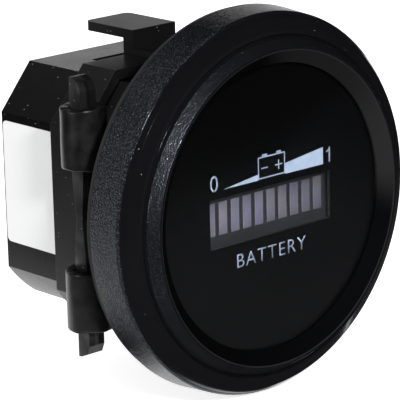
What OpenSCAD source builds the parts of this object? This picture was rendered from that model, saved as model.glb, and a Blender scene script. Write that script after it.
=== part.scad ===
// Round panel gauge for battery charge: bezel, dial, ten-segment bar display,
// rear housing and a slide-on ratchet clamp with a thumb release.
// Millimetres. Face normal -Y, up +Z. Origin: centre of the panel seat.

/* [Panel opening and bezel] */
// Diameter of the hole in the panel
panel_hole_d = 52; // [51:0.5:56]
// Radial play between the hole and the spigot
spigot_play = 0.2; // [0.15:0.05:0.3]
// Length of the spigot that sits in the hole
spigot_len = 1.5; // [1.3:0.1:1.6]
// Width of the flange outside the spigot
flange_w = 4.6; // [4:0.1:6]
// How much the skirt narrows towards its front edge
skirt_draft = 0.4; // [0.2:0.1:0.8]
// Depth of the skirt in front of the panel
skirt_depth = 6.6; // [6.2:0.1:8]
// Rise of the plain front chamfer
chamfer_rise = 2.2; // [1.6:0.1:2.6]
// Rise of the textured cone inside the chamfer
cone_rise = 1.8; // [1.4:0.1:2.2]
// Depth of the lens face below the front crest
lens_sink = 2.1; // [1.9:0.1:2.6]

/* [Lens and dial] */
// Thickness of the clear lens
lens_t = 0.8; // [0.6:0.1:1]
// Thickness of the dial plate
dial_t = 0.6; // [0.4:0.1:0.8]
// Width of the display window in the dial
window_w = 25.4; // [24:0.2:27]
// Height of the display window in the dial
window_h = 7.8; // [7:0.2:9]
// Height of the window centre above the gauge axis
window_z = -0.5; // [-1.5:0.1:1]

/* [Bar display] */
// Width of one light segment
segment_w = 1.64; // [1.4:0.02:1.9]
// Height of one light segment
segment_h = 5.15; // [4:0.05:5.8]
// Pitch of the light segments
segment_pitch = 2.5; // [2.3:0.02:2.55]

/* [Housing] */
// Radius of the rounded corners of the rear body
body_r = 23.5; // [23:0.1:23.8]
// Distance from the axis to each flat of the rear body
body_flat = 19; // [18.8:0.1:19.4]
// Length of the housing behind the panel plane
body_len = 33.6; // [33.4:0.1:36]
// Wall thickness of the housing
wall = 1.8; // [1.5:0.1:2]
// Depth of the terminal recess at the rear
recess_depth = 8.6; // [8.2:0.1:9.4]

/* [Clamp] */
// Gap between the clamp band and the housing
clamp_gap = 0.15; // [0.1:0.05:0.3]
// Wall thickness of the clamp band
clamp_wall = 1.6; // [1.4:0.1:1.9]
// Length of the clamp band along the housing
clamp_len = 7.7; // [7.6:0.1:8.6]
// Distance from the panel plane to the rear edge of the band
clamp_rear = 19.3; // [19.2:0.1:20.2]
// Diameter of the rubber sleeves
sleeve_d = 7.3; // [7:0.1:7.5]
// Length of each rubber sleeve
sleeve_len = 9.7; // [8:0.1:10.4]
// Width of the spring bars across the gauge
bar_w = 3; // [2.6:0.1:3.1]
// Thickness of the spring bars along the gauge axis
bar_t = 2.6; // [2.2:0.1:2.7]

/* [Release lever] */
// Width of the lever
lever_w = 9; // [8.2:0.1:9.2]
// Height of the thumb plate above the gauge axis
lever_top = 24.7; // [24.2:0.1:26.2]
// Length of the thumb plate along the gauge axis
lever_len = 11.6; // [9:0.1:13]
// Radius of the hinge pins of the lever
pin_r = 0.7; // [0.6:0.02:0.74]
// Radial clearance of the hinge pins
pin_play = 0.05; // [0.03:0.01:0.08]
// Pitch of the ratchet teeth
tooth_pitch = 0.8; // [0.7:0.05:0.9]

/* [Terminals] */
// Width of a blade terminal
blade_w = 6.3; // [4.8:0.1:6.6]
// Thickness of a blade terminal
blade_t = 0.8; // [0.5:0.1:1]
// Spacing of the blades across the gauge
blade_pitch = 7.4; // [7:0.1:7.8]

/* [Hidden] */

eps = 0.01;
ring_fn = 96;
body_fn = 72;
small_fn = 32;

// bezel
spigot_r = panel_hole_d / 2 - spigot_play;
bezel_r = spigot_r + flange_w;
skirt_r = bezel_r - skirt_draft;
ridge_r = spigot_r + 1.0;
ridge_step = 0.25;
crest_r = spigot_r - 1.3;
lens_open_r = spigot_r - 3.35;
shoulder_r = skirt_r - 1.0;
shoulder_fwd = skirt_depth + chamfer_rise * 0.52;
seal_t = 0.8;
seal_inset = 0.3;
ridge_y = -(skirt_depth + chamfer_rise);
crest_y = ridge_y - cone_rise;
crest_land = 0.5;
crest_break = 0.12;
lens_y = crest_y + lens_sink;
lip_t = 0.4;
seat_gap = 0.1;
pocket_r = spigot_r - 0.8;
collar_front = -5.2;
collar_r = spigot_r - 0.4;

// lens, dial, seal and spacer
lens_r = pocket_r - seat_gap;
dial_y = lens_y + lens_t;
dial_back = dial_y + dial_t;
collar_wall = 2.0;
collar_in_r = spigot_r - collar_wall;
lens_seal_out = lens_r - seat_gap;
lens_seal_in = collar_in_r + seat_gap;
spacer_out = collar_in_r - 2 * seat_gap;
spacer_in = spacer_out - 1.2;

// boards
board_t = 1.6;
shoulder_y = 1.0;
board_front = shoulder_y - board_t;
board_r = collar_in_r - 2 * seat_gap;

// bar display
segments = 10;
bar_face_y = dial_y + 1.5;
segment_z = window_z + 0.25;
graph_side = 1.4;
graph_over = 2.5;
graph_w = max(segments * segment_pitch, window_w) + 2 * graph_side;
graph_h = segment_h + 2 * graph_over;
segment_sink = 1.2;
segment_proud = 0.1;

// housing
body_in_r = body_r - wall;
body_in_flat = body_flat - wall;
wall_back = body_len - recess_depth;
wall_front = wall_back - wall;
board_gap = 3.1;
rear_board_back = wall_front - board_gap;
rear_board_front = rear_board_back - board_t;
corner_out = 3.1;
corner_turn = 40;
recess_w = 4 * blade_pitch + 2.4;
recess_h = 2 * blade_w + 8.4;
recess_edge = 1.6;
slot_play = 0.15;
channel_half = 5.9;
channel_floor = body_flat - 1.6;
channel_front = 7.0;
channel_rear = wall_back + 1.6;
pad_half = channel_half + 1.6;
pad_t = 1.5;
pad_under = channel_floor - pad_t;
can_r = 3.2;
can_len = 9.5;
tooth_h = 0.45;
tooth_half = 3.6;
teeth_front = channel_front + 0.3;
teeth_count = floor((channel_rear - 0.4 - teeth_front) / tooth_pitch);
post_r = 2.2;
post_hole_r = 0.9;
post_x = 11.2;
row_z = blade_w / 2 + 1.9;
post_z = -(row_z + blade_w / 2 + post_r + 1.2);

// label, kept inside the side flat
flat_up = (body_flat + corner_out - body_flat * cos(corner_turn))
    / sin(corner_turn);
flat_down = sqrt(body_r * body_r - body_flat * body_flat);
label_top = flat_up - 1.3;
label_bottom = -flat_down + 4.4;
label_t = 0.1;
label_corner = 0.9;

// clamp
band_flat = body_flat + clamp_gap;
band_in_r = body_r + clamp_gap;
band_out_flat = band_flat + clamp_wall;
band_out_r = band_in_r + clamp_wall;
band_front = clamp_rear - clamp_len;
bar_y = clamp_rear - 11.3;
cheek_front = bar_y - bar_t / 2;
cheek_half = 11.4;
sleeve_near = 7.9;
cheek_short = sleeve_near - 0.3;
bar_x = band_out_flat + 2.65;
bar_half = 22;
bar_tip_r = 2.0;
lug_half = 5.6;
lug_back = bar_y + bar_t / 2 + 0.6;
bar_waist = 0.6;
sleeve_bore = sqrt(bar_w * bar_w + bar_t * bar_t) / 2 + 0.06;
guide_play = 0.15;
guide_half = channel_half - guide_play;
guide_floor = channel_floor + tooth_h + 0.3;

// lever
lever_half = lever_w / 2;
lever_gap = 0.3;
window_half = lever_half + lever_gap;
web_t = 2.3;
web_rear = clamp_rear + 1;
web_front = web_rear - web_t;
plate_corner = 1.1;
plate_t = 1.5;
lever_side_top = band_out_flat + 0.9;
lever_side_t = 1.4;
lever_front = web_front - 4.5;
band_window_front = lever_front - 0.6;
hinge_y = clamp_rear - 1.2;
hinge_z = guide_floor + 1.2;
lever_floor = hinge_z - 0.72;
pin_reach = guide_half - 0.35;
pawl_len = 1.2;
pawl_half = 3.1;
pawl_front = lever_front;
pawl_lift = 0.12;
pawl_tip = channel_floor + tooth_h + pawl_lift;
seat_angle = 6;
pawl_arm = hinge_y - pawl_front - pawl_len / 2;
pawl_swing = (hinge_z - pawl_tip) * sin(seat_angle)
    + pawl_arm * (1 - cos(seat_angle));
pawl_y = tooth_valley(pawl_front + pawl_len / 2) - pawl_swing;

// terminals
blade_back = body_len - 0.5;
blade_front = rear_board_front - 0.9;

// Centre of the tooth valley nearest to a given distance
function tooth_valley(y) =
    teeth_front + tooth_pitch * round((y - teeth_front) / tooth_pitch);

// Extrudes a drawing of x and z from y0 rearwards
module along_y(y0, len) {
    translate([0, y0 + len, 0])
        rotate([90, 0, 0])
            linear_extrude(height = len)
                children();
}

// Turns a profile of radius and forward distance about the gauge axis
module turn(facets = ring_fn) {
    rotate([90, 0, 0])
        rotate_extrude($fn = facets)
            children();
}

// A ring about the gauge axis
module ring_y(y0, len, outer, inner, facets = ring_fn) {
    along_y(y0, len)
        difference() {
            circle(r = outer, $fn = facets);
            circle(r = inner, $fn = facets);
        }
}

// A round bar along the gauge axis
module rod_y(x, y0, z, len, r, facets = small_fn) {
    translate([x, y0 + len, z])
        rotate([90, 0, 0])
            cylinder(h = len, r = r, $fn = facets);
}

// A box from its low corner to its high corner
module block(low, high) {
    translate(low)
        cube(high - low);
}

// Cross-section of the rear body: a circle cut by four flats and by a
// slanted flat at each upper corner
module body_section(r, flat) {
    intersection() {
        circle(r = r, $fn = body_fn);
        square([2 * flat, 2 * flat], center = true);
        for_corner(1, flat);
        for_corner(-1, flat);
    }
}

// Everything below the slanted flat on one side
module for_corner(side, flat) {
    reach = 4 * flat;
    scale([side, 1])
        rotate(corner_turn)
            translate([-reach, -reach])
                square([reach + flat + corner_out, 2 * reach]);
}

// A rectangle with rounded corners
module soft_rect(w, h, r) {
    square([w - 2 * r, h], center = true);
    square([w, h - 2 * r], center = true);
    for (x = [-1, 1])
        for (z = [-1, 1])
            translate([x * (w / 2 - r), z * (h / 2 - r)])
                circle(r = r, $fn = small_fn);
}

module bezel_ring() {
    color("#1d1d1f")
        turn()
            polygon([
                [bezel_r - 0.25, seal_t],
                [bezel_r, seal_t + 0.25],
                [skirt_r, skirt_depth - 0.2],
                [skirt_r - 0.2, skirt_depth + 0.05],
                [shoulder_r, shoulder_fwd],
                [ridge_r + 0.2, -ridge_y],
                [ridge_r, -ridge_y],
                [ridge_r - ridge_step, -ridge_y - ridge_step],
                [crest_r + crest_land, -crest_y],
                [crest_r + crest_break, -crest_y],
                [crest_r, -crest_y - crest_break],
                [lens_open_r, -lens_y + lip_t],
                [lens_open_r, -lens_y],
                [pocket_r, -lens_y],
                [pocket_r, -collar_front],
                [collar_r + 0.05, -collar_front],
                [collar_r + 0.05, seal_t]
            ]);
}

module lens() {
    color([0.2, 0.22, 0.24, 0.4])
        along_y(lens_y, lens_t)
            circle(r = lens_r, $fn = ring_fn);
}

module dial_plate() {
    color("#161616")
        along_y(dial_y, dial_t)
            difference() {
                circle(r = lens_r, $fn = ring_fn);
                translate([0, window_z])
                    square([window_w, window_h], center = true);
            }
}

module lens_seal() {
    color("#2a2a2c")
        ring_y(dial_back, collar_front - dial_back, lens_seal_out,
            lens_seal_in, body_fn);
}

module panel_seal() {
    color("#242426")
        ring_y(-seal_t, seal_t, bezel_r - seal_inset,
            spigot_r + 2 * seat_gap);
}

module dial_spacer() {
    color("#0f0f10")
        ring_y(dial_back, board_front - dial_back, spacer_out, spacer_in,
            body_fn);
}

// One drawing of every light segment, grown by a margin
module segment_row(margin = 0) {
    for (n = [0 : segments - 1])
        translate([(n - (segments - 1) / 2) * segment_pitch, segment_z])
            square([segment_w + 2 * margin, segment_h + 2 * margin],
                center = true);
}

module bargraph_body() {
    color("#3c3c40")
        difference() {
            along_y(bar_face_y, board_front - bar_face_y)
                translate([0, segment_z])
                    square([graph_w, graph_h], center = true);
            along_y(bar_face_y - eps, segment_sink + eps)
                segment_row();
        }
}

module bargraph_segments() {
    color("#b4b0bd")
        along_y(bar_face_y - segment_proud, segment_sink + segment_proud)
            segment_row();
}

module display_board() {
    color("#1f4a33")
        along_y(board_front, board_t)
            circle(r = board_r, $fn = body_fn);
}

module microcontroller() {
    color("#202022") {
        block([-10.5, shoulder_y, 2.5], [-3.0, shoulder_y + 1.4, 7.5]);
        for (n = [0 : 5])
            block([-10.2 + n * 1.3, shoulder_y, 1.7],
                [-9.8 + n * 1.3, shoulder_y + 0.3, 8.3]);
    }
}

module driver_chip() {
    color("#202022") {
        block([2.0, shoulder_y, 2.5], [10.0, shoulder_y + 1.4, 7.5]);
        for (n = [0 : 5])
            block([2.45 + n * 1.35, shoulder_y, 1.7],
                [2.85 + n * 1.35, shoulder_y + 0.3, 8.3]);
    }
}

// A spacer strip whose pins join the two boards
module board_header() {
    color("#8c8c90") {
        block([-6.5, shoulder_y, -5.4], [6.5, shoulder_y + 2.5, -3.0]);
        for (n = [0 : 4])
            block([-5.4 + n * 2.54, shoulder_y + 2.5 - eps, -4.5],
                [-4.8 + n * 2.54, rear_board_front, -3.9]);
    }
}

module terminal_board() {
    color("#1f4a33")
        along_y(rear_board_front, board_t)
            difference() {
                body_section(body_in_r - 0.4, body_in_flat - 1.9);
                for (side = [-1, 1])
                    translate([side * post_x, post_z])
                        circle(r = post_hole_r + 0.4, $fn = small_fn);
                blade_holes(0);
            }
}

// Openings for the blades, grown by a margin
module blade_holes(margin) {
    for (row = [-1, 1])
        for (n = [0 : 3])
            translate([(n - 1.5) * blade_pitch, row * row_z])
                square([blade_t + 2 * margin, blade_w + 2 * margin],
                    center = true);
}

module smoothing_capacitor() {
    color("#2b3550")
        rod_y(0, rear_board_front - can_len, pad_under - can_r - 0.5,
            can_len, can_r);
}

module voltage_regulator() {
    color("#202022") {
        block([6.2, rear_board_front - 2.4, 8.8],
            [12.4, rear_board_front, 13.4]);
        block([7.0, rear_board_front - 0.8, 13.4 - eps],
            [11.6, rear_board_front, 14.6]);
    }
}

module input_diode() {
    color("#2a2a2a")
        block([-12.2, rear_board_front - 2.3, 9.2],
            [-7.4, rear_board_front, 12.0]);
}

module chip_resistors() {
    color("#3a3a3c")
        for (n = [0 : segments - 1])
            block([-12.2 + n * 2.6, shoulder_y, -9.6],
                [-11.0 + n * 2.6, shoulder_y + 0.5, -7.6]);
}

// One blade terminal, counted from the upper left
module blade(n) {
    x = ((n % 4) - 1.5) * blade_pitch;
    z = (n < 4 ? 1 : -1) * row_z;
    cut = 1.2;
    color("#b9b4a6")
        translate([x + blade_t / 2, 0, z])
            rotate([0, -90, 0])
                linear_extrude(height = blade_t)
                    difference() {
                        polygon([
                            [-blade_w / 2, blade_front],
                            [blade_w / 2, blade_front],
                            [blade_w / 2, blade_back - cut],
                            [blade_w / 2 - cut, blade_back],
                            [cut - blade_w / 2, blade_back],
                            [-blade_w / 2, blade_back - cut]
                        ]);
                        translate([0, blade_back - 3.4])
                            circle(r = 0.85, $fn = small_fn);
                    }
}

// A plain pan-head screw driven into a post
module board_screw(side) {
    color("#9a9a9e") {
        rod_y(side * post_x, rear_board_front - 1.3, post_z, 1.3, 1.6);
        rod_y(side * post_x, rear_board_front - eps, post_z,
            board_t + 2.4 + eps, post_hole_r);
    }
}

module housing() {
    color("#1b1b1d")
        difference() {
            union() {
                along_y(collar_front, -collar_front)
                    circle(r = collar_r, $fn = ring_fn);
                along_y(0, spigot_len)
                    circle(r = spigot_r, $fn = ring_fn);
                along_y(shoulder_y, body_len - shoulder_y)
                    body_section(body_r, body_flat);
            }
            along_y(collar_front - eps, shoulder_y - collar_front + eps)
                circle(r = collar_in_r, $fn = ring_fn);
            housing_hollow();
            along_y(wall_back, recess_depth + eps)
                soft_rect(recess_w, recess_h, 2);
            along_y(wall_front - eps, wall + 2 * eps)
                blade_holes(slot_play);
            ratchet_channel();
        }
    color("#1b1b1d")
        ratchet_teeth();
    color("#1b1b1d")
        for (side = [-1, 1])
            post(side);
}

// The room for the boards, with a pad left under the ratchet channel
module housing_hollow() {
    difference() {
        along_y(shoulder_y - eps, wall_front - shoulder_y + eps)
            body_section(body_in_r, body_in_flat);
        block([-pad_half, shoulder_y - 1, channel_floor - pad_t],
            [pad_half, wall_front + 1, body_flat + 1]);
    }
}

module ratchet_channel() {
    block([-channel_half, channel_front, channel_floor],
        [channel_half, channel_rear, body_flat + 1]);
}

module ratchet_teeth() {
    for (n = [0 : teeth_count - 1])
        translate([tooth_half, teeth_front + (n + 0.5) * tooth_pitch,
            channel_floor])
            rotate([0, -90, 0])
                linear_extrude(height = 2 * tooth_half)
                    polygon([
                        [-eps, -tooth_pitch / 2 + 0.12],
                        [tooth_h, -0.08],
                        [tooth_h, 0.08],
                        [-eps, tooth_pitch / 2 - 0.12]
                    ]);
}

// A post on the rear partition that takes one board screw
module post(side) {
    difference() {
        rod_y(side * post_x, rear_board_back, post_z,
            wall_front - rear_board_back + eps, post_r);
        rod_y(side * post_x, rear_board_back - eps, post_z, 2.6, post_hole_r + 0.02);
    }
}

module side_label() {
    front = band_front + 1;
    back = body_len - 0.3;
    color("#f4f4f2")
        translate([-body_flat, 0, 0])
            rotate([0, -90, 0])
                linear_extrude(height = label_t)
                    translate([(label_top + label_bottom) / 2,
                        (front + back) / 2])
                        soft_rect(label_top - label_bottom, back - front,
                            label_corner);
}

module clamp_band() {
    color("#1e1e20")
        difference() {
            union() {
                difference() {
                    along_y(band_front, clamp_len)
                        body_section(band_out_r, band_out_flat);
                    along_y(band_front - 1, clamp_len + 2)
                        body_section(band_in_r, band_flat);
                }
                for (side = [-1, 1])
                    clamp_cheek(side);
                block([-guide_half, band_front, guide_floor],
                    [guide_half, clamp_rear, band_flat + 0.1]);
            }
            block([-window_half, band_window_front, guide_floor - 1],
                [window_half, clamp_rear + 1, band_out_flat + 1]);
            translate([-pin_reach - 0.15, hinge_y, hinge_z])
                rotate([0, 90, 0])
                    cylinder(h = 2 * pin_reach + 0.3, r = pin_r + pin_play,
                        $fn = small_fn);
        }
}

// The cheek, its lug and the spring bar on one side of the band
module clamp_cheek(side) {
    inner = band_flat;
    scale([side, 1, 1]) {
        translate([inner, 0, 0])
            rotate([90, 0, 90])
                linear_extrude(height = clamp_wall)
                    polygon([
                        [cheek_front, -cheek_short],
                        [cheek_front, cheek_short],
                        [band_front - 0.7, cheek_short],
                        [band_front + 0.2, cheek_half],
                        [band_front + 0.2, -cheek_half],
                        [band_front - 0.7, -cheek_short]
                    ]);
        block([band_out_flat - eps, bar_y - bar_t / 2 + bar_waist, -lug_half],
            [bar_x - bar_w / 2 + eps, lug_back, lug_half]);
        translate([bar_x - bar_w / 2, 0, 0])
            rotate([90, 0, 90])
                linear_extrude(height = bar_w)
                    spring_bar_profile();
    }
}

// Side drawing of a spring bar: y across, z up, with a waist between the sleeves
module spring_bar_profile() {
    near = bar_y - bar_t / 2;
    far = bar_y + bar_t / 2;
    full = sleeve_near - 1.2;
    tip = bar_half - bar_tip_r;
    slant = bar_tip_r * 0.3;
    polygon([
        [near, -tip],
        [near + slant, -bar_half + slant],
        [near + bar_tip_r, -bar_half],
        [far, -bar_half],
        [far, -full],
        [far - bar_waist, 0],
        [far, full],
        [far, bar_half],
        [near + bar_tip_r, bar_half],
        [near + slant, bar_half - slant],
        [near, tip],
        [near, full],
        [near + bar_waist, 0],
        [near, -full]
    ]);
}

// A rubber tube on one end of a spring bar
module sleeve(side, half) {
    color("#151517")
        translate([side * bar_x, bar_y,
            half > 0 ? sleeve_near : -sleeve_near - sleeve_len])
            difference() {
                cylinder(h = sleeve_len, r = sleeve_d / 2, $fn = 48);
                translate([0, 0, -1])
                    cylinder(h = sleeve_len + 2, r = sleeve_bore, $fn = 24);
            }
}

module release_lever() {
    color("#202022") {
        // thumb plate
        thumb_plate();
        // web
        block([-lever_half, web_front, lever_floor],
            [lever_half, web_rear, lever_top - plate_t + eps]);
        // side walls reaching forward over the window
        for (side = [-1, 1])
            scale([side, 1, 1])
                block([lever_half - lever_side_t, lever_front, lever_floor],
                    [lever_half, web_front + eps, lever_side_top]);
        // cross bar with the pawl under it
        block([-lever_half, lever_front, lever_floor],
            [lever_half, lever_front + pawl_len, band_flat + 0.4]);
        pawl();
        // hinge pins
        translate([-pin_reach, hinge_y, hinge_z])
            rotate([0, 90, 0])
                cylinder(h = 2 * pin_reach, r = pin_r, $fn = small_fn);
    }
}

// The plate is square in front and rounded at its rear corners
module thumb_plate() {
    back = web_front + lever_len;
    translate([0, 0, lever_top - plate_t])
        linear_extrude(height = plate_t) {
            translate([-lever_half, web_front])
                square([lever_w, lever_len - plate_corner]);
            translate([-lever_half + plate_corner, web_front])
                square([lever_w - 2 * plate_corner, lever_len]);
            for (side = [-1, 1])
                translate([side * (lever_half - plate_corner),
                    back - plate_corner])
                    circle(r = plate_corner, $fn = small_fn);
        }
}

module pawl() {
    tip = 0.1;
    base = tooth_pitch / 2 - 0.16;
    translate([pawl_half, pawl_y, 0])
        rotate([0, -90, 0])
            linear_extrude(height = 2 * pawl_half)
                polygon([
                    [lever_floor + eps, -base],
                    [pawl_tip, -tip],
                    [pawl_tip, tip],
                    [lever_floor + eps, base]
                ]);
}

bezel_ring();
lens();
dial_plate();
lens_seal();
panel_seal();
dial_spacer();
bargraph_body();
bargraph_segments();
display_board();
microcontroller();
driver_chip();
board_header();
terminal_board();
smoothing_capacitor();
voltage_regulator();
input_diode();
chip_resistors();
blade(0);  // blade_1
blade(1);  // blade_2
blade(2);  // blade_3
blade(3);  // blade_4
blade(4);  // blade_5
blade(5);  // blade_6
blade(6);  // blade_7
blade(7);  // blade_8
board_screw(-1);  // board_screw_left
board_screw(1);  // board_screw_right
housing();
side_label();
clamp_band();
sleeve(-1, 1);  // sleeve_left_upper
sleeve(-1, -1);  // sleeve_left_lower
sleeve(1, 1);  // sleeve_right_upper
sleeve(1, -1);  // sleeve_right_lower
release_lever();
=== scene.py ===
import math

import bmesh
import bpy
from mathutils import Matrix, Vector, noise


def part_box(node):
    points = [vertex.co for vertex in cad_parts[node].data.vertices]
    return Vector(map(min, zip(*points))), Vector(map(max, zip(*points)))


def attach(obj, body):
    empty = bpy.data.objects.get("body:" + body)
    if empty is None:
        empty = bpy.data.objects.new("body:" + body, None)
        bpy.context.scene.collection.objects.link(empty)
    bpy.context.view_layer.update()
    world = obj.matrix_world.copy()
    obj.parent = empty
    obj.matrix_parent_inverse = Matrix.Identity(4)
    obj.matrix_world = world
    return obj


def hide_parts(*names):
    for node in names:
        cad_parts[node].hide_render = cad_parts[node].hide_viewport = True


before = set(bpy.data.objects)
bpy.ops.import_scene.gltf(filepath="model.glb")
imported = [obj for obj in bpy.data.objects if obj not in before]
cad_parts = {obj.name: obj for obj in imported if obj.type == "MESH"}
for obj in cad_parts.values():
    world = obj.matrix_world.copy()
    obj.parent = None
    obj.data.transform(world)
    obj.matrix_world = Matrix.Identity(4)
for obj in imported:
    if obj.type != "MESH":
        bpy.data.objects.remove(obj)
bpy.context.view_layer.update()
mm = 0.001
scene = bpy.context.scene
print("frame loaded:", len(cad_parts), "solids")


class Val:
    # a shader socket that can be written in sums
    def __init__(self, graph, socket):
        self.graph = graph
        self.socket = socket

    def do(self, operation, *others):
        return self.graph.add("ShaderNodeMath", {"operation": operation},
                              dict(enumerate((self,) + others)))

    def __add__(self, other):
        return self.do("ADD", other)

    __radd__ = __add__

    def __sub__(self, other):
        return self.do("SUBTRACT", other)

    def __rsub__(self, other):
        return self.graph.add("ShaderNodeMath", {"operation": "SUBTRACT"}, {0: other, 1: self})

    def __mul__(self, other):
        return self.do("MULTIPLY", other)

    __rmul__ = __mul__

    def __truediv__(self, other):
        return self.do("DIVIDE", other)

    def __pow__(self, other):
        return self.do("POWER", other)

    def __gt__(self, other):
        return self.do("GREATER_THAN", other)

    def __lt__(self, other):
        return self.do("LESS_THAN", other)

    def clip(self):
        return self.graph.add("ShaderNodeClamp", {}, {"Value": self})

    def fade(self, low, high):
        # 0 below low, 1 above high, smooth between
        return self.graph.add("ShaderNodeMapRange", {"interpolation_type": "SMOOTHSTEP"},
                              {"Value": self, "From Min": low, "From Max": high})

    def rise(self, low, high):
        # fade between two places in millimetres
        return self.fade(low * mm, high * mm)


class Graph:
    # the node tree of one material, or of the world
    def __init__(self, name, owner=None):
        self.owner = owner or bpy.data.materials.new(name)
        self.owner.use_nodes = True
        self.tree = self.owner.node_tree
        self.tree.nodes.clear()

    def add(self, kind, settings=None, inputs=None, out=0):
        node = self.tree.nodes.new(kind)
        for key, value in (settings or {}).items():
            setattr(node, key, value)
        for key, value in (inputs or {}).items():
            if isinstance(value, Val):
                self.tree.links.new(value.socket, node.inputs[key])
            else:
                node.inputs[key].default_value = value
        return Val(self, node.outputs[out])

    def place(self):
        # position in metres, from the solid's own frame
        return self.add("ShaderNodeTexCoord", out="Object")

    def axes(self):
        spot = self.place()
        split = self.add("ShaderNodeSeparateXYZ", inputs={0: spot}).socket.node
        return [Val(self, split.outputs[i]) for i in range(3)]

    def speckle(self, size, detail=2.0, rough=0.5, seed=0.0):
        # noise whose grains are about size millimetres across
        spot = self.place()
        if seed:
            shift = (seed, seed * 0.7, seed * 0.3)
            spot = self.add("ShaderNodeVectorMath", {"operation": "ADD"}, {0: spot, 1: shift})
        return self.add("ShaderNodeTexNoise", {}, {
            "Vector": spot, "Scale": 1 / (size * mm), "Detail": detail, "Roughness": rough})

    def drawn(self, scale, stretch, detail):
        # noise stretched along an axis, as on a drawn part; scale is in grains per metre
        spot = self.add("ShaderNodeVectorMath", {"operation": "MULTIPLY"}, {0: self.place(), 1: stretch})
        return self.add("ShaderNodeTexNoise", {}, {"Vector": spot, "Scale": scale, "Detail": detail})

    def dust(self, spacing, size):
        # rare round specks, both in millimetres
        apart = self.add("ShaderNodeTexVoronoi", {}, {
            "Vector": self.place(), "Scale": 1 / (spacing * mm)}, out="Distance")
        return apart < size / spacing

    def mix(self, mask, below, above, mode="MIX"):
        # two colours, each a socket or three numbers
        pair = [tone if isinstance(tone, Val) else (*tone, 1) for tone in (below, above)]
        return self.add("ShaderNodeMix", {"data_type": "RGBA", "blend_type": mode},
                        {"Factor": mask, 6: pair[0], 7: pair[1]}, out=2)

    def bump(self, height, distance, strength=1.0, normal=None):
        inputs = {"Height": height, "Distance": distance * mm, "Strength": strength}
        if normal is not None:
            inputs["Normal"] = normal
        return self.add("ShaderNodeBump", {}, inputs)

    def softEdge(self, radius):
        # rounds the look of a moulded edge
        return self.add("ShaderNodeBevel", {"samples": 4}, {"Radius": radius * mm})

    def surface(self, **sockets):
        names = {key.replace("_", " "): value for key, value in sockets.items()}
        shader = self.add("ShaderNodeBsdfPrincipled", {}, names)
        return self.finish(shader)

    def seen(self):
        # 1 for rays that see the set: from the camera, a mirror or glass
        path = self.add("ShaderNodeLightPath", out="Is Camera Ray")
        outputs = path.socket.node.outputs
        mirrored = path.do("MAXIMUM", Val(self, outputs["Is Glossy Ray"]))
        return mirrored.do("MAXIMUM", Val(self, outputs["Is Transmission Ray"]))

    def finish(self, shader, kind="ShaderNodeOutputMaterial"):
        self.tree.links.new(shader.socket, self.tree.nodes.new(kind).inputs["Surface"])
        return self.owner


def dress(node, material):
    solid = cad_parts[node]
    solid.data.materials.clear()
    solid.data.materials.append(material)


# ---- bezel
bezel = {
    "colour": (0.0035, 0.0035, 0.004),
    "worn": (0.009, 0.009, 0.0105),
    # painted glints: lighter specks in the grain's colour that stand in for the sparkle of the lamps
    "paintedGlintTone": (0.031, 0.036, 0.045),
    # painted highlight: a lighter line round the crest's inner edge
    "paintedRimLight": (0.022, 0.022, 0.024),
    # painted shade on the recessed inner wall, then painted light on it to the upper right and, lighter,
    # to the far right
    "paintedWallShade": (0.0010, 0.0010, 0.0011),
    "paintedWallLight": (0.0092, 0.0092, 0.0092),
    "paintedWallLightRight": (0.0165, 0.0165, 0.0165),
    "speck": (0.22, 0.22, 0.22),
    "sheen": (0.80, 0.86, 1.0, 1),
    # grain and glint sizes and depths are in millimetres, gloss is a roughness, the rest are shares
    "grainSize": 0.21,
    "grainDepth": 0.36,
    "grainCoarse": 0.1,
    "pitRange": (0.52, 0.66),
    "glintSize": 0.22,
    "glintRange": (0.54, 0.68),
    "dust": (2.2, 0.08),
    "flowSize": 9.0,
    "peelSize": 1.3,
    "peelDepth": 0.02,
    "edge": 0.12,
    "smoothUnder": 0.75,
    "smoothTop": 0.6,
    "coneDim": 0.5,
    "topDim": 0.85,
    "highlightLow": 0.1,
    # share of painted shade on the ridge's upper left: a duller copy there
    "ridgePaintedShade": 0.8,
    "gloss": 0.08,
    "grainGloss": 0.13,
    "flowGloss": 0.04,
    "coneGrain": 0.24,
    "coneGloss": 1.45,
    "wallGloss": 0.7,
    "wallLevel": 0.06,
    # forward places and radii in millimetres, with both ends where a mask is soft
    "skirtFront": (-6.95, -6.7),
    "skirtRadius": (26.2, 26.4),
    "ridgeFront": -8.6,
    "ridgeRadius": 26.4,
    "coneFront": (-9.1, -8.9),
    "coneRadius": (24.98, 25.06),
    "landFront": -10.45,
    "rimLightFront": -10.48,
    "rimLightRadius": 24.68,
    "wallFront": -10.5,
    "wallRadius": 24.56,
    # a side of the ring, which places painted light and shade and where the grain is smoothed: shares of
    # right and up, then the ends of the fade in millimetres
    "sides": {
        "under": (0.4, -1, -8, 12),
        "top": (0.9, 1, 10, 24),
        "right": (1, 0, 0, 8),
        "upperLeft": (-1, 1, 0, 10),
        "upperRight": (0.75, 0.66, 12.5, 18.5),
        "aboveFoot": (0, 1, -8, 3),
        "farRight": (1, -0.3, 10, 21),
        "highlight": (-0.82, 0.57, 20, 24.7),
    },
}


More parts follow.
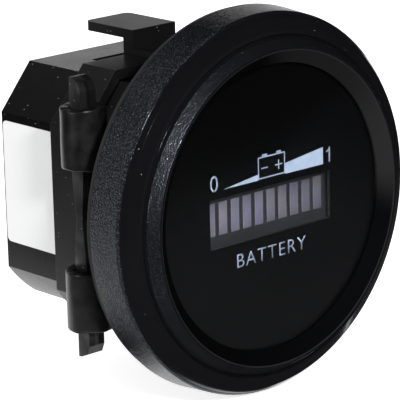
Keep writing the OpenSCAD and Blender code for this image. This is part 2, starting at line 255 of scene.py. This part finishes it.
def bezelPlastic():
    g = Graph("bezelPlastic")
    x, y, z = g.axes()
    radius = (x * x + z * z) ** 0.5
    side = {name: (x * right + z * up).rise(low, high)
            for name, (right, up, low, high) in bezel["sides"].items()}
    skirt = y.rise(*bezel["skirtFront"]) * radius.rise(*bezel["skirtRadius"])
    cone = (1 - y.rise(*bezel["coneFront"])) * radius.rise(*bezel["coneRadius"])
    grained = (skirt + cone).clip()
    wall = (radius < bezel["wallRadius"] * mm) * (y > bezel["wallFront"] * mm)
    # where painted light falls on the inner wall: its upper right, above the foot
    paintedWallLit = wall * (side["upperRight"] * side["aboveFoot"])
    paintedRimLine = (y < bezel["rimLightFront"] * mm) * (radius < bezel["rimLightRadius"] * mm)
    ridge = (y < bezel["ridgeFront"] * mm) * (radius > bezel["ridgeRadius"] * mm) * (1 - cone)
    # the land takes painted shade on the right side only
    shadedLand = (y < bezel["landFront"] * mm) * side["right"]

    fine = g.speckle(bezel["grainSize"], 1.0, 0.4)
    coarse = g.speckle(bezel["grainSize"] * 2.6, 2.0, 0.5, seed=3.1)
    grain = fine * (1 - bezel["grainCoarse"]) + coarse * bezel["grainCoarse"]
    flow = g.speckle(bezel["flowSize"], 2.0, 0.5, seed=1.7)
    peel = g.speckle(bezel["peelSize"], 2.0, 0.5, seed=5.3) * (1 - grained) * bezel["peelDepth"]
    height = grain * (skirt + cone * bezel["coneGrain"])
    height = height * (1 - side["under"] * bezel["smoothUnder"]) * (1 - side["top"] * bezel["smoothTop"])
    normal = g.bump(height + peel, bezel["grainDepth"], 1.0, g.softEdge(bezel["edge"]))

    pits = grain.fade(*bezel["pitRange"]) * grained
    # painted highlight: glint specks, dimmed on the underside, the top and the cone, where the light
    # doesn't catch them
    paintedGlint = g.speckle(bezel["glintSize"], 1.0, 0.5, seed=9.2).fade(*bezel["glintRange"]) * grained
    paintedGlint = paintedGlint * (1 - side["under"]) * (1 - cone * bezel["coneDim"])
    paintedGlint = paintedGlint * (1 - side["top"] * bezel["topDim"])
    # painted light on the inner wall, lighter again to the far right
    paintedWallTone = g.mix(side["farRight"], bezel["paintedWallLight"], bezel["paintedWallLightRight"])
    colour = g.mix(pits * 0.6 + flow * 0.25, bezel["colour"], bezel["worn"])
    colour = g.mix(paintedGlint, colour, bezel["paintedGlintTone"])
    # painted highlight along the crest's inner edge
    colour = g.mix(paintedRimLine * (0.5 + flow * 0.5), colour, bezel["paintedRimLight"])
    colour = g.mix(g.dust(*bezel["dust"]), colour, bezel["speck"])
    # painted shade over the whole inner wall, then painted light on its upper right
    colour = g.mix(wall, colour, bezel["paintedWallShade"])
    colour = g.mix(paintedWallLit, colour, paintedWallTone)

    def skin(level, rough):
        return g.add("ShaderNodeBsdfPrincipled", {}, {
            "Base Color": colour, "Roughness": rough, "Normal": normal,
            "Specular IOR Level": level, "Specular Tint": bezel["sheen"]})

    gloss = bezel["gloss"] + (skirt + cone * bezel["coneGloss"]) * bezel["grainGloss"]
    gloss = gloss + flow * bezel["flowGloss"]
    # painted highlight: the cone takes a copy with twice the specular level only on its upper-left side,
    # where the key light's highlight falls
    low = bezel["highlightLow"]
    lit = cone * (side["highlight"] * (1 - low) + low)
    ringed = g.add("ShaderNodeMixShader", {}, {0: lit, 1: skin(0.5, gloss), 2: skin(1.0, gloss)})
    # the inner wall takes the duller finish all round; the ridge on the upper left and the land on the
    # right take it only as painted shade
    matt = (wall + ridge * side["upperLeft"] * bezel["ridgePaintedShade"] + shadedLand).clip()
    dull = skin(bezel["wallLevel"], bezel["wallGloss"] + flow * 0.1)
    return g.finish(g.add("ShaderNodeMixShader", {}, {0: matt, 1: ringed, 2: dull}))


dress("bezel_ring", bezelPlastic())
print("bezel dressed")


# ---- window, dial and print
# places in millimetres, to the right and up unless they are forward places
dial = {
    "face": -7.7,
    "lensFront": -8.5,
    "lensBack": -7.77,
    "lensRadius": 24.9,
    "lensBreak": 0.15,
    "lensRound": 0.1,
    "glass": (0.93, 0.95, 0.97, 1),
    "glassShadow": (0.92, 0.94, 0.96, 1),
    "black": (0.0014, 0.0014, 0.0016),
    "blackLight": (0.0026, 0.0026, 0.0028),
    "blackShade": (0.0002, 0.0002, 0.0002),
    "shadeRise": (5, 13),
    "shadeShare": 0.85,
    "window": (-12.72, -4.42, 12.72, 3.42),
    "reveal": (0.022, 0.022, 0.023),
    "ink": (0.38, 0.43, 0.55),
    "wedgeInk": (0.44, 0.51, 0.63),
    "film": 0.015,
    "filmGap": 0.002,
    "word": ("BATTERY", -7.35, 7.3, -8.24, 2.13),
    "zero": ("0", -12.50, -10.94, 4.60, 2.50),
    "letterThinning": -0.006,
    "letterSpacing": 1.14,
    "rule": 0.20,
    "box": (-2.62, 4.72, 3.10, 8.18),
    "posts": ((-1.74, -0.70), (1.30, 2.24)),
    "postTall": 0.36,
    "minus": -1.25,
    "minusHalf": 0.70,
    "plus": 1.74,
    "plusHalf": (0.75, 0.76),
    "signMiddle": 6.36,
    "wedgeTip": (-9.85, 4.66),
    "wedgeEnd": 11.28,
    "wedgeTall": 2.61,
    "wedgeDrop": 0.12,
    "one": [(12.53, 4.66), (12.82, 4.66), (12.82, 7.06), (12.62, 7.06),
            (12.46, 6.72), (12.00, 6.50), (12.00, 6.26), (12.53, 6.40)],
}


def lensGlass():
    g = Graph("lensGlass")
    haze = g.speckle(6.0, 2.0, 0.5)
    glass = g.add("ShaderNodeBsdfPrincipled", {}, {
        "Base Color": dial["glass"], "Roughness": 0.02 + haze * 0.02,
        "Transmission Weight": 1.0, "IOR": 1.47})
    lamps = g.add("ShaderNodeLightPath", out="Is Shadow Ray")
    clear = g.add("ShaderNodeBsdfTransparent", {}, {"Color": dial["glassShadow"]})
    return g.finish(g.add("ShaderNodeMixShader", {}, {0: lamps, 1: glass, 2: clear}))


def dialBlack():
    g = Graph("dialBlack")
    flow = g.speckle(7.0, 3.0, 0.5)
    fine = g.speckle(0.25, 2.0, 0.5, seed=2.2)
    x, y, z = g.axes()
    left, bottom, right, top = (edge * mm for edge in dial["window"])
    cut = (y > (dial["face"] + 0.01) * mm) * (x > left) * (x < right) * (z > bottom) * (z < top)
    shade = (z - x * 0.35).rise(*dial["shadeRise"]) * dial["shadeShare"]
    colour = g.mix(flow, dial["black"], dial["blackLight"])
    colour = g.mix(shade, colour, dial["blackShade"])
    colour = g.mix(cut, colour, dial["reveal"])
    return g.surface(Base_Color=colour, Roughness=0.5 + flow * 0.08, Normal=g.bump(fine, 0.01, 0.5),
                     Specular_IOR_Level=0.05)


def printInk(name, tone):
    g = Graph(name)
    cloud = g.speckle(1.6, 3.0, 0.6)
    thin = tuple(c * 0.82 for c in tone)
    full = tuple(min(1, c * 1.12) for c in tone)
    return g.surface(Base_Color=g.mix(cloud, thin, full), Roughness=0.5,
                     Normal=g.bump(g.speckle(0.2), 0.004, 0.5))


def meshPiece(name, mesh, material, body, replaced=()):
    piece = bpy.data.objects.new(name, mesh)
    scene.collection.objects.link(piece)
    mesh.materials.clear()
    mesh.materials.append(material)
    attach(piece, body)
    if replaced:
        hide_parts(*replaced)
    return piece


def meshFrom(name, bm):
    bmesh.ops.recalc_face_normals(bm, faces=bm.faces)
    mesh = bpy.data.meshes.new(name)
    bm.to_mesh(mesh)
    bm.free()
    return mesh


def turned(name, profile, steps=192):
    # a closed ring from a profile of radius and forward place, in millimetres
    bm = bmesh.new()
    rings = []
    for n in range(steps):
        a = 2 * math.pi * n / steps
        rings.append([bm.verts.new((r * math.cos(a) * mm, y * mm, r * math.sin(a) * mm)) if r > 0 else None
                      for r, y in profile])
    poles = {i: bm.verts.new((0, y * mm, 0)) for i, (r, y) in enumerate(profile) if r <= 0}
    for n in range(steps):
        here, there = rings[n], rings[(n + 1) % steps]
        for i in range(len(profile) - 1):
            corners = [here[i] or poles[i], here[i + 1] or poles[i + 1],
                       there[i + 1] or poles[i + 1], there[i] or poles[i]]
            kept = list(dict.fromkeys(corners))
            if len(kept) > 2:
                bm.faces.new(kept)
    return meshFrom(name, bm)


def smoothed(mesh, angle=35):
    mesh.shade_smooth()
    mesh.set_sharp_from_angle(angle=math.radians(angle))
    return mesh


def makeLens():
    r, front, back = dial["lensRadius"], dial["lensFront"], dial["lensBack"]
    cut, turn = dial["lensBreak"], dial["lensRound"]
    ring = [(0, front), (r * 0.5, front), (r - cut, front), (r, front + cut), (r, back - turn),
            (r - turn, back), (r * 0.5, back), (0, back)]
    pane = smoothed(turned("lensPane", ring))
    return meshPiece("lensPane", pane, lensGlass(), "housing", ["lens"])


def extrudeShapes(bm, shapes, low, high):
    # flat shapes of x and z, in millimetres, between two forward places
    for shape in shapes:
        area = sum(a[0] * b[1] - b[0] * a[1] for a, b in zip(shape, shape[1:] + shape[:1]))
        ring = shape if area > 0 else shape[::-1]
        front = [bm.verts.new((x * mm, low * mm, z * mm)) for x, z in ring]
        back = [bm.verts.new((x * mm, high * mm, z * mm)) for x, z in ring]
        bm.faces.new(front)
        bm.faces.new(back[::-1])
        for i in range(len(ring)):
            j = (i + 1) % len(ring)
            bm.faces.new((front[j], front[i], back[i], back[j]))


def rect(left, bottom, right, top):
    return [(left, bottom), (right, bottom), (right, top), (left, top)]


def signShapes():
    t = dial["rule"]
    left, low, right, high = dial["box"]
    minus, plus, middle = dial["minus"], dial["plus"], dial["signMiddle"]
    half, (wide, tall) = dial["minusHalf"], dial["plusHalf"]
    shapes = [
        rect(left, low, right, low + t), rect(left, high - t, right, high),
        rect(left, low + t, left + t, high - t), rect(right - t, low + t, right, high - t),
        *(rect(begin, high, end, high + dial["postTall"]) for begin, end in dial["posts"]),
        rect(minus - half, middle - t / 2, minus + half, middle + t / 2),
        rect(plus - wide, middle - t / 2, plus + wide, middle + t / 2),
        rect(plus - t / 2, middle - tall, plus + t / 2, middle - t / 2),
        rect(plus - t / 2, middle + t / 2, plus + t / 2, middle + tall),
        dial["one"],
    ]
    (tipX, tipZ), end = dial["wedgeTip"], dial["wedgeEnd"]

    def base(x):
        return tipZ - dial["wedgeDrop"] * (x - tipX) / (end - tipX)

    def top(x):
        return tipZ + dial["wedgeTall"] * (x - tipX) / (end - tipX)

    wedge = [[(tipX, tipZ), (left, base(left)), (left, top(left))],
             [(right, base(right)), (end, base(end)), (end, top(end)), (right, top(right))]]
    return shapes, wedge


def letters(name, text, left, right, base, height):
    # built-in type, fitted to a width and a cap height
    curve = bpy.data.curves.new(name, "FONT")
    curve.body = text
    curve.size = 1.0
    curve.resolution_u = 6
    curve.offset = dial["letterThinning"]
    curve.space_character = dial["letterSpacing"] if len(text) > 1 else 1.0
    holder = bpy.data.objects.new(name, curve)
    scene.collection.objects.link(holder)
    bpy.context.view_layer.update()
    mesh = bpy.data.meshes.new_from_object(holder.evaluated_get(bpy.context.evaluated_depsgraph_get()))
    bpy.data.objects.remove(holder)
    xs = [v.co.x for v in mesh.vertices]
    ys = [v.co.y for v in mesh.vertices]
    wide, tall = (right - left) / (max(xs) - min(xs)), height / (max(ys) - min(ys))
    for v in mesh.vertices:
        v.co = ((left + (v.co.x - min(xs)) * wide) * mm, 0, (base + (v.co.y - min(ys)) * tall) * mm)
    return mesh


def makePrint():
    # signs and letters, a thin film of ink on the dial
    front, back = dial["face"] - dial["film"], dial["face"] - dial["filmGap"]
    signs, wedge = signShapes()
    bm = bmesh.new()
    extrudeShapes(bm, signs, front, back)
    flat = bmesh.new()
    for name, job in (("zeroSign", dial["zero"]), ("wordSign", dial["word"])):
        mesh = letters(name, *job)
        flat.from_mesh(mesh)
        bpy.data.meshes.remove(mesh)
    bmesh.ops.translate(flat, verts=flat.verts, vec=(0, back * mm, 0))
    raised = bmesh.ops.extrude_face_region(flat, geom=list(flat.faces))
    moved = [v for v in raised["geom"] if isinstance(v, bmesh.types.BMVert)]
    bmesh.ops.translate(flat, verts=moved, vec=(0, (front - back) * mm, 0))
    mesh = meshFrom("letterPrint", flat)
    bm.from_mesh(mesh)
    bpy.data.meshes.remove(mesh)
    meshPiece("dialPrint", meshFrom("dialPrint", bm), printInk("printInk", dial["ink"]), "housing")
    bm = bmesh.new()
    extrudeShapes(bm, wedge, front, back)
    meshPiece("wedgePrint", meshFrom("wedgePrint", bm), printInk("wedgeInk", dial["wedgeInk"]), "housing")


dress("dial_plate", dialBlack())
makeLens()
makePrint()
print("lens, dial and print made")


# ---- bar display
# places in millimetres; cloud, level and rim are shares of the bars' brightness
display = {
    "body": (0.026, 0.026, 0.028),
    "bodyLow": (0.024, 0.024, 0.025),
    "lowEdge": (-4.5, -2.0),
    "bar": (0.205, 0.187, 0.212),
    "barBlue": (0.18, 0.173, 0.232),
    "barMiddle": -0.25,
    "barHalf": 2.6,
    "halfPitch": 1.25,
    "rimInner": 0.64,
    "rimOuter": 0.78,
    "dimmed": (-12, 14),
    "cloud": 0.3,
    "level": 0.78,
    "rim": 0.34,
}


def displayBody():
    g = Graph("displayBody")
    lower = 1 - g.axes()[2].rise(*display["lowEdge"])
    flow = g.speckle(3.0, 2.0, 0.5)
    colour = g.mix((lower * 0.8 + flow * 0.3).clip(), display["body"], display["bodyLow"])
    return g.surface(Base_Color=colour, Roughness=0.42 + flow * 0.1,
                     Normal=g.bump(g.speckle(0.18), 0.006, 0.6))


def barPlastic():
    # dimmer at the ends and to the right, with a lighter rim down each side
    g = Graph("barPlastic")
    x, y, z = g.axes()
    wander = g.speckle(5.5, 2.0, 0.5, seed=4.4)
    cloud = g.speckle(1.1, 3.0, 0.6)
    middle = (z - display["barMiddle"] * mm) / (display["barHalf"] * mm)
    half = display["halfPitch"] * mm
    across = (x + half).do("WRAP", half, -half)
    rim = (across * across).fade((display["rimInner"] * mm) ** 2, (display["rimOuter"] * mm) ** 2)
    glow = 1 - (middle * middle).clip() * 0.25 - x.rise(*display["dimmed"]) * 0.25
    glow = glow * (display["level"] + cloud * display["cloud"] + rim * display["rim"])
    level = g.mix(glow, (0, 0, 0), (1, 1, 1))
    tone = g.mix(wander.fade(0.42, 0.6), display["bar"], display["barBlue"])
    return g.surface(Base_Color=g.mix(1.0, tone, level, "MULTIPLY"), Roughness=0.38 + cloud * 0.1,
                     Normal=g.bump(g.speckle(0.3), 0.01, 0.5))


dress("bargraph_body", displayBody())
dress("bargraph_segments", barPlastic())
print("bar display dressed")


# ---- housing, label, clamp and lever
# gloss is a roughness; grain, depth and edge are in millimetres; level is the specular level
moulded = {
    "housing": {"tone": (0.0026, 0.0026, 0.003), "gloss": 0.22, "grain": 0.22, "depth": 0.006,
                "level": 0.30},
    "clamp": {"tone": (0.005, 0.005, 0.0055), "gloss": 0.33, "grain": 0.35, "depth": 0.012, "level": 0.42,
              "wave": 60.0},
}
shell = {
    "barInner": 23.0,
    "barOuter": 23.8,
    # painted light on the clamp's side bars
    "barPaintedLight": (0.026, 0.026, 0.027),
    "edge": 0.12,
    "speck": (0.3, 0.3, 0.3),
    "paper": (0.76, 0.765, 0.77),
    "paperLight": (0.84, 0.84, 0.84),
}


def mouldedPlastic(name, tone, gloss, grain, depth, level=0.45, wave=0.0):
    # wave is the strength of the ripple along the clamp's side bars
    g = Graph(name)
    x = g.axes()[0]
    bars = (x * x).fade((shell["barInner"] * mm) ** 2, (shell["barOuter"] * mm) ** 2) * (wave > 0)
    ripple = g.speckle(4.2, 1.0, 0.4, seed=3.3) * bars * wave
    flow = g.speckle(8.0, 3.0, 0.55)
    fine = g.speckle(grain, 2.0, 0.5, seed=2.6)
    scuff = g.speckle(1.9, 4.0, 0.7, seed=7.7).fade(0.62, 0.74)
    colour = g.mix((flow.fade(0.3, 0.7) * 0.5 + scuff * 0.35).clip(), tone, tuple(c * 1.9 for c in tone))
    # painted highlight: the side bars lighter in a wavy band
    colour = g.mix(bars * flow.fade(0.35, 0.65), colour, shell["barPaintedLight"])
    colour = g.mix(g.dust(1.25, 0.08), colour, shell["speck"])
    normal = g.bump(fine + flow * 0.5 + ripple, depth, 1.0, g.softEdge(shell["edge"]))
    return g.surface(Base_Color=colour, Roughness=gloss + flow * 0.1 + scuff * 0.08, Normal=normal,
                     Specular_IOR_Level=level)


def labelPaper():
    g = Graph("labelPaper")
    fibre = g.speckle(0.35, 4.0, 0.7)
    broad = g.speckle(11.0, 2.0, 0.5)
    colour = g.mix(fibre * 0.5 + broad * 0.5, shell["paper"], shell["paperLight"])
    return g.surface(Base_Color=colour, Roughness=0.46 + fibre * 0.1,
                     Normal=g.bump(fibre + broad * 6, 0.012, 0.8, g.softEdge(0.05)))


housingPlastic = mouldedPlastic("housingPlastic", **moulded["housing"])
clampPlastic = mouldedPlastic("clampPlastic", **moulded["clamp"])
dress("housing", housingPlastic)
dress("side_label", labelPaper())
dress("clamp_band", clampPlastic)
dress("release_lever", clampPlastic)
print("housing, clamp and lever dressed")


# ---- rubber tubes on the spring bars
# lengths in millimetres; short is how far each end stops before its solid's end
tube = {
    "colour": (0.003, 0.003, 0.0033),
    "bloom": (0.011, 0.011, 0.0115),
    "gloss": 0.30,
    "radius": 3.57,
    "bore": 2.06,
    "short": 0.2,
    "ragged": 0.22,
    "wave": 0.06,
    "outerRim": 0.25,
    "outerRound": 0.16,
    "innerRim": 0.2,
    "innerRound": 0.12,
    "steps": 72,
    "rows": 26,
    "innerRows": 10,
}


def sleeveRubber():
    g = Graph("sleeveRubber")
    drawn = g.drawn(2600.0, (1, 1, 0.08), 2.0)
    bloom = g.speckle(2.4, 4.0, 0.65, seed=1.2)
    return g.surface(Base_Color=g.mix(bloom.fade(0.35, 0.75), tube["colour"], tube["bloom"]),
                     Roughness=tube["gloss"] + bloom * 0.14,
                     Normal=g.bump(drawn * 0.6 + bloom * 0.6, 0.03, 1.0), Specular_IOR_Level=0.5)


def makeSleeve(name, side, half, material):
    # a cut tube: torn ends, a slight wave and a soft rim
    steps, rows, inner, ragged = (tube[key] for key in ("steps", "rows", "innerRows", "ragged"))
    seed = side * 3.7 + half * 1.9
    node = "sleeve_%s_%s" % ("left" if side < 0 else "right", "upper" if half > 0 else "lower")
    near, far = (Vector(c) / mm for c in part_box(node))
    centre = (near + far) / 2
    ends = sorted((abs(near.z), abs(far.z)))
    bm = bmesh.new()
    rims = []
    for n in range(steps):
        a = 2 * math.pi * n / steps
        ca, sa = math.cos(a), math.sin(a)
        torn = []
        for k in (0, 1):
            coarse = noise.noise(Vector((ca * 1.6 + seed, sa * 1.6, k * 5.0)))
            fine = noise.noise(Vector((ca * 5 + seed, sa * 5, k * 9.0 + 2)))
            torn.append((coarse + fine * 0.6) * ragged)
        low, high = ends[0] + tube["short"] + torn[0], ends[1] - tube["short"] + torn[1]
        line = []
        for i in range(rows + 1):
            ease = 0.5 - 0.5 * math.cos(math.pi * i / rows)
            z = low + (high - low) * ease
            rim = min(1.0, min(z - low, high - z) / tube["outerRim"])
            wave = noise.noise(Vector((ca * 0.9 + seed, sa * 0.9, z * 0.22))) * tube["wave"]
            fall = tube["outerRound"] * (1 - math.sqrt(max(0, rim * (2 - rim))))
            line.append((tube["radius"] + wave - fall, z))
        for i in range(inner + 1):
            z = high - (high - low) * i / inner
            rim = min(1.0, min(z - low, high - z) / tube["innerRim"])
            line.append((tube["bore"] + tube["innerRound"] * (1 - rim), z))
        rims.append([bm.verts.new(((centre.x + r * ca) * mm, (centre.y + r * sa) * mm, half * z * mm))
                     for r, z in line])
    for n in range(steps):
        here, there = rims[n], rims[(n + 1) % steps]
        for i in range(len(here)):
            j = (i + 1) % len(here)
            bm.faces.new((here[i], here[j], there[j], there[i]))
    mesh = smoothed(meshFrom(name, bm), 55)
    return meshPiece(name, mesh, material, "clamp", [node])


rubber = sleeveRubber()
for side, sideName in ((-1, "Left"), (1, "Right")):
    for half, halfName in ((1, "Upper"), (-1, "Lower")):
        makeSleeve("tube" + sideName + halfName, side, half, rubber)
print("rubber tubes made")


# ---- seals, boards, parts on them and terminals
inside = {
    "foam": (0.010, 0.010, 0.011),
    "spacer": (0.010, 0.010, 0.011),
    "chip": (0.016, 0.016, 0.017),
    "capacitor": (0.020, 0.030, 0.080),
    "board": (0.012, 0.075, 0.035),
    "boardLight": (0.02, 0.12, 0.055),
    "tin": (0.62, 0.60, 0.55),
    "steel": (0.55, 0.56, 0.58),
}


def foamRubber():
    g = Graph("foamRubber")
    cells = g.speckle(0.35, 3.0, 0.7)
    return g.surface(Base_Color=g.mix(cells, inside["foam"], tuple(c * 2.2 for c in inside["foam"])),
                     Roughness=0.75 + cells * 0.15, Normal=g.bump(cells, 0.05, 0.8))


def boardGreen():
    g = Graph("boardGreen")
    weave = g.add("ShaderNodeTexWave", {"wave_profile": "SIN"}, {
        "Vector": g.place(), "Scale": 600.0, "Distortion": 1.0})
    cloud = g.speckle(4.0)
    colour = g.mix(cloud * 0.6 + weave * 0.4, inside["board"], inside["boardLight"])
    return g.surface(Base_Color=colour, Roughness=0.3 + cloud * 0.1, Normal=g.bump(weave, 0.01, 0.5))


def tinnedMetal(name, tone, rough):
    g = Graph(name)
    drawn = g.drawn(5200.0, (1, 0.06, 1), 3.0)
    stain = g.speckle(1.6, 4.0, 0.7)
    return g.surface(Base_Color=g.mix(stain.fade(0.3, 0.8), tone, tuple(c * 0.72 for c in tone)),
                     Metallic=1.0, Roughness=rough + stain * 0.15 + drawn * 0.08,
                     Normal=g.bump(drawn, 0.012, 0.7, g.softEdge(0.06)))


foam = foamRubber()
innerBlack = mouldedPlastic("innerBlack", inside["spacer"], 0.5, 0.3, 0.01)
chipBlack = mouldedPlastic("chipBlack", inside["chip"], 0.5, 0.15, 0.01)
green = boardGreen()
blade = tinnedMetal("bladeTin", inside["tin"], 0.26)
steel = tinnedMetal("screwSteel", inside["steel"], 0.3)
for node in ("panel_seal", "lens_seal"):
    dress(node, foam)
dress("dial_spacer", innerBlack)
for node in ("microcontroller", "driver_chip", "voltage_regulator", "input_diode", "chip_resistors"):
    dress(node, chipBlack)
for node in ("display_board", "terminal_board"):
    dress(node, green)
dress("smoothing_capacitor", mouldedPlastic("capacitorSleeve", inside["capacitor"], 0.28, 0.5, 0.005))
for node in ("board_header", "board_screw_left", "board_screw_right"):
    dress(node, steel)
for n in range(1, 9):
    dress("blade_%d" % n, blade)
print("inner parts and blades dressed")


# ---- floor, light and camera
# millimetres and degrees
studio = {
    "floor": -30.45,
    "floorHalf": 3000,
    "floorTone": (0.86, 0.86, 0.86, 1),
    "floorGlow": 0.75,
    "worldAmbient": 0.75,
    "lamps": [  # name, place, aim, size, radiance
        ("keyFront", (-167, -339, 190), (-17, -8, 10), 42, 220.0),
        ("backTop", (-110, 260, 260), (0, 0, 10), 150, 0.25),
        ("sideLeft", (-380, 60, 60), (-10, 10, 0), 90, 8.0),
    ],
    "clothNear": (0.055, 0.055, 0.055),
    "clothFar": (0.006, 0.006, 0.006),
    "clothFade": (30, 200),
    "clothRadius": 450,
    "clothTurns": 32,
    "walls": [  # from, to, bottom, top
        (108, 165, -30.3, 620), (165, 392, -30.3, 620), (32, 108, 150, 620),
    ],
    "sheets": [  # left, near, right, far, height
        (-600, -600, 600, -6.4, -30.3), (-600, -6, -54, 420, -30.3), (-44, 3, -17, 24, -30.3),
        (16, -6, 600, 60, -30.3), (-450, -450, 450, 450, 620),
    ],
}


def plainWorld():
    g = Graph("plainWorld", bpy.data.worlds.new("plainWorld"))
    level = g.add("ShaderNodeMapRange", {}, {
        "Value": g.seen(), "To Min": studio["worldAmbient"], "To Max": 1.0})
    scene.world = g.finish(g.add("ShaderNodeBackground", {}, {"Color": (1, 1, 1, 1), "Strength": level}),
                           "ShaderNodeOutputWorld")


def stagePiece(name, points, faces, material):
    mesh = bpy.data.meshes.new(name)
    mesh.from_pydata([tuple(c * mm for c in point) for point in points], [], faces)
    mesh.materials.append(material)
    piece = bpy.data.objects.new(name, mesh)
    scene.collection.objects.link(piece)
    return piece


def sheet(left, near, right, far, height):
    return [(left, near, height), (right, near, height), (right, far, height), (left, far, height)]


def paleFloor():
    g = Graph("paleFloor")
    matt = g.add("ShaderNodeBsdfDiffuse", {}, {"Color": studio["floorTone"]})
    glow = g.add("ShaderNodeEmission", {}, {
        "Color": (1, 1, 1, 1), "Strength": g.seen() * studio["floorGlow"]})
    half = studio["floorHalf"]
    stagePiece("floor", sheet(-half, -half, half, half, studio["floor"]), [(0, 1, 2, 3)],
               g.finish(g.add("ShaderNodeAddShader", {}, {0: matt, 1: glow})))


def darkDrape():
    # black cloth round the open side of the set: only reflections meet it
    g = Graph("blackCloth")
    x, y, z = g.axes()
    reach = ((x * x + y * y) ** 0.5).rise(*studio["clothFade"])
    tone = (reach + g.speckle(2.0) * 0.02).clip()
    cloth = g.surface(Base_Color=g.mix(tone, studio["clothNear"], studio["clothFar"]),
                      Roughness=0.9, Specular_IOR_Level=0.1)
    radius, turns = studio["clothRadius"], studio["clothTurns"]
    points, faces = [], []
    for begin, end, low, high in studio["walls"]:
        first = len(points)
        for n in range(turns + 1):
            a = math.radians(begin + (end - begin) * n / turns)
            points += [(radius * math.cos(a), radius * math.sin(a), height) for height in (low, high)]
        faces += [(n, n + 2, n + 3, n + 1) for n in range(first, first + 2 * turns, 2)]
    for corners in studio["sheets"]:
        i = len(points)
        points += sheet(*corners)
        faces.append((i, i + 1, i + 2, i + 3))
    piece = stagePiece("blackDrape", points, faces, cloth)
    piece.visible_camera = piece.visible_diffuse = piece.visible_shadow = False


def softLamps():
    for name, place, aim, size, radiance in studio["lamps"]:
        lamp = bpy.data.lights.new(name, "AREA")
        lamp.shape = "SQUARE"
        lamp.size = size * mm
        lamp.energy = radiance * math.pi * (size * mm) ** 2
        holder = bpy.data.objects.new(name, lamp)
        holder.location = Vector(place) * mm
        away = Vector(aim) - Vector(place)
        holder.rotation_euler = away.to_track_quat("-Z", "Y").to_euler()
        scene.collection.objects.link(holder)


shot = {
    "azimuth": -42.0,
    "elevation": 15.3,
    "roll": -1.5,
    "distance": 420,
    "shiftRight": -5.5,
    "shiftUp": -0.3,
    "focalPixels": 2704,
    "width": 400,
    "sensor": 36,
    "clip": (0.02, 20),
}


def addCamera():
    a, e, r = (math.radians(shot[k]) for k in ("azimuth", "elevation", "roll"))
    back = Vector((math.sin(a) * math.cos(e), -math.cos(a) * math.cos(e), math.sin(e)))
    right = Vector((math.cos(a), math.sin(a), 0))
    up = back.cross(right)
    rightRolled = math.cos(r) * right + math.sin(r) * up
    upRolled = -math.sin(r) * right + math.cos(r) * up
    target = (shot["shiftRight"] * right + shot["shiftUp"] * up) * mm
    data = bpy.data.cameras.new("camera")
    data.sensor_width = shot["sensor"]
    data.lens = shot["sensor"] * shot["focalPixels"] / shot["width"]
    data.clip_start, data.clip_end = shot["clip"]
    holder = bpy.data.objects.new("camera", data)
    turn = Matrix((rightRolled, upRolled, back)).transposed().to_4x4()
    holder.matrix_world = Matrix.Translation(target + back * shot["distance"] * mm) @ turn
    scene.collection.objects.link(holder)
    scene.camera = holder


plainWorld()
paleFloor()
darkDrape()
softLamps()
addCamera()
scene.view_settings.view_transform = "Standard"
print("studio set")
